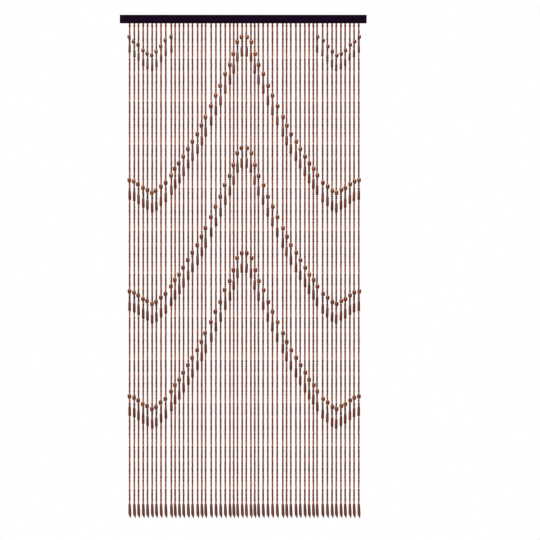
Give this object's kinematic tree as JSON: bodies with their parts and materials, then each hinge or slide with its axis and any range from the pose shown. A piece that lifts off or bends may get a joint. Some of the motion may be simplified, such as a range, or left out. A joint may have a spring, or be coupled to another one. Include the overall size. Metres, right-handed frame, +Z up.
{
  "type": "bead string door curtain with its wooden headrail",
  "caption": "Door curtain of wooden bead strings that hang from a flat dark headrail, with large beads set in a repeated zigzag and a pointed drop at the foot of each string.",
  "frame": {"origin": "middle of the headrail's flat back face", "axes": "+Z up, +Y out of the rail's back towards what it is fixed to, so the front looks to -Y, and +X along the rail to the right as seen from the front"},
  "size_m": [0.9, 0.016, 1.8358],
  "materials": {
    "rail_wood": "dark stain under satin varnish",
    "bead_wood": "brown stain under gloss varnish"
  },
  "bodies": {
    "root": {"headrail": "rail_wood", "bead_strings_left": "bead_wood", "bead_strings_right": "bead_wood"}
  },
  "joints": []
}
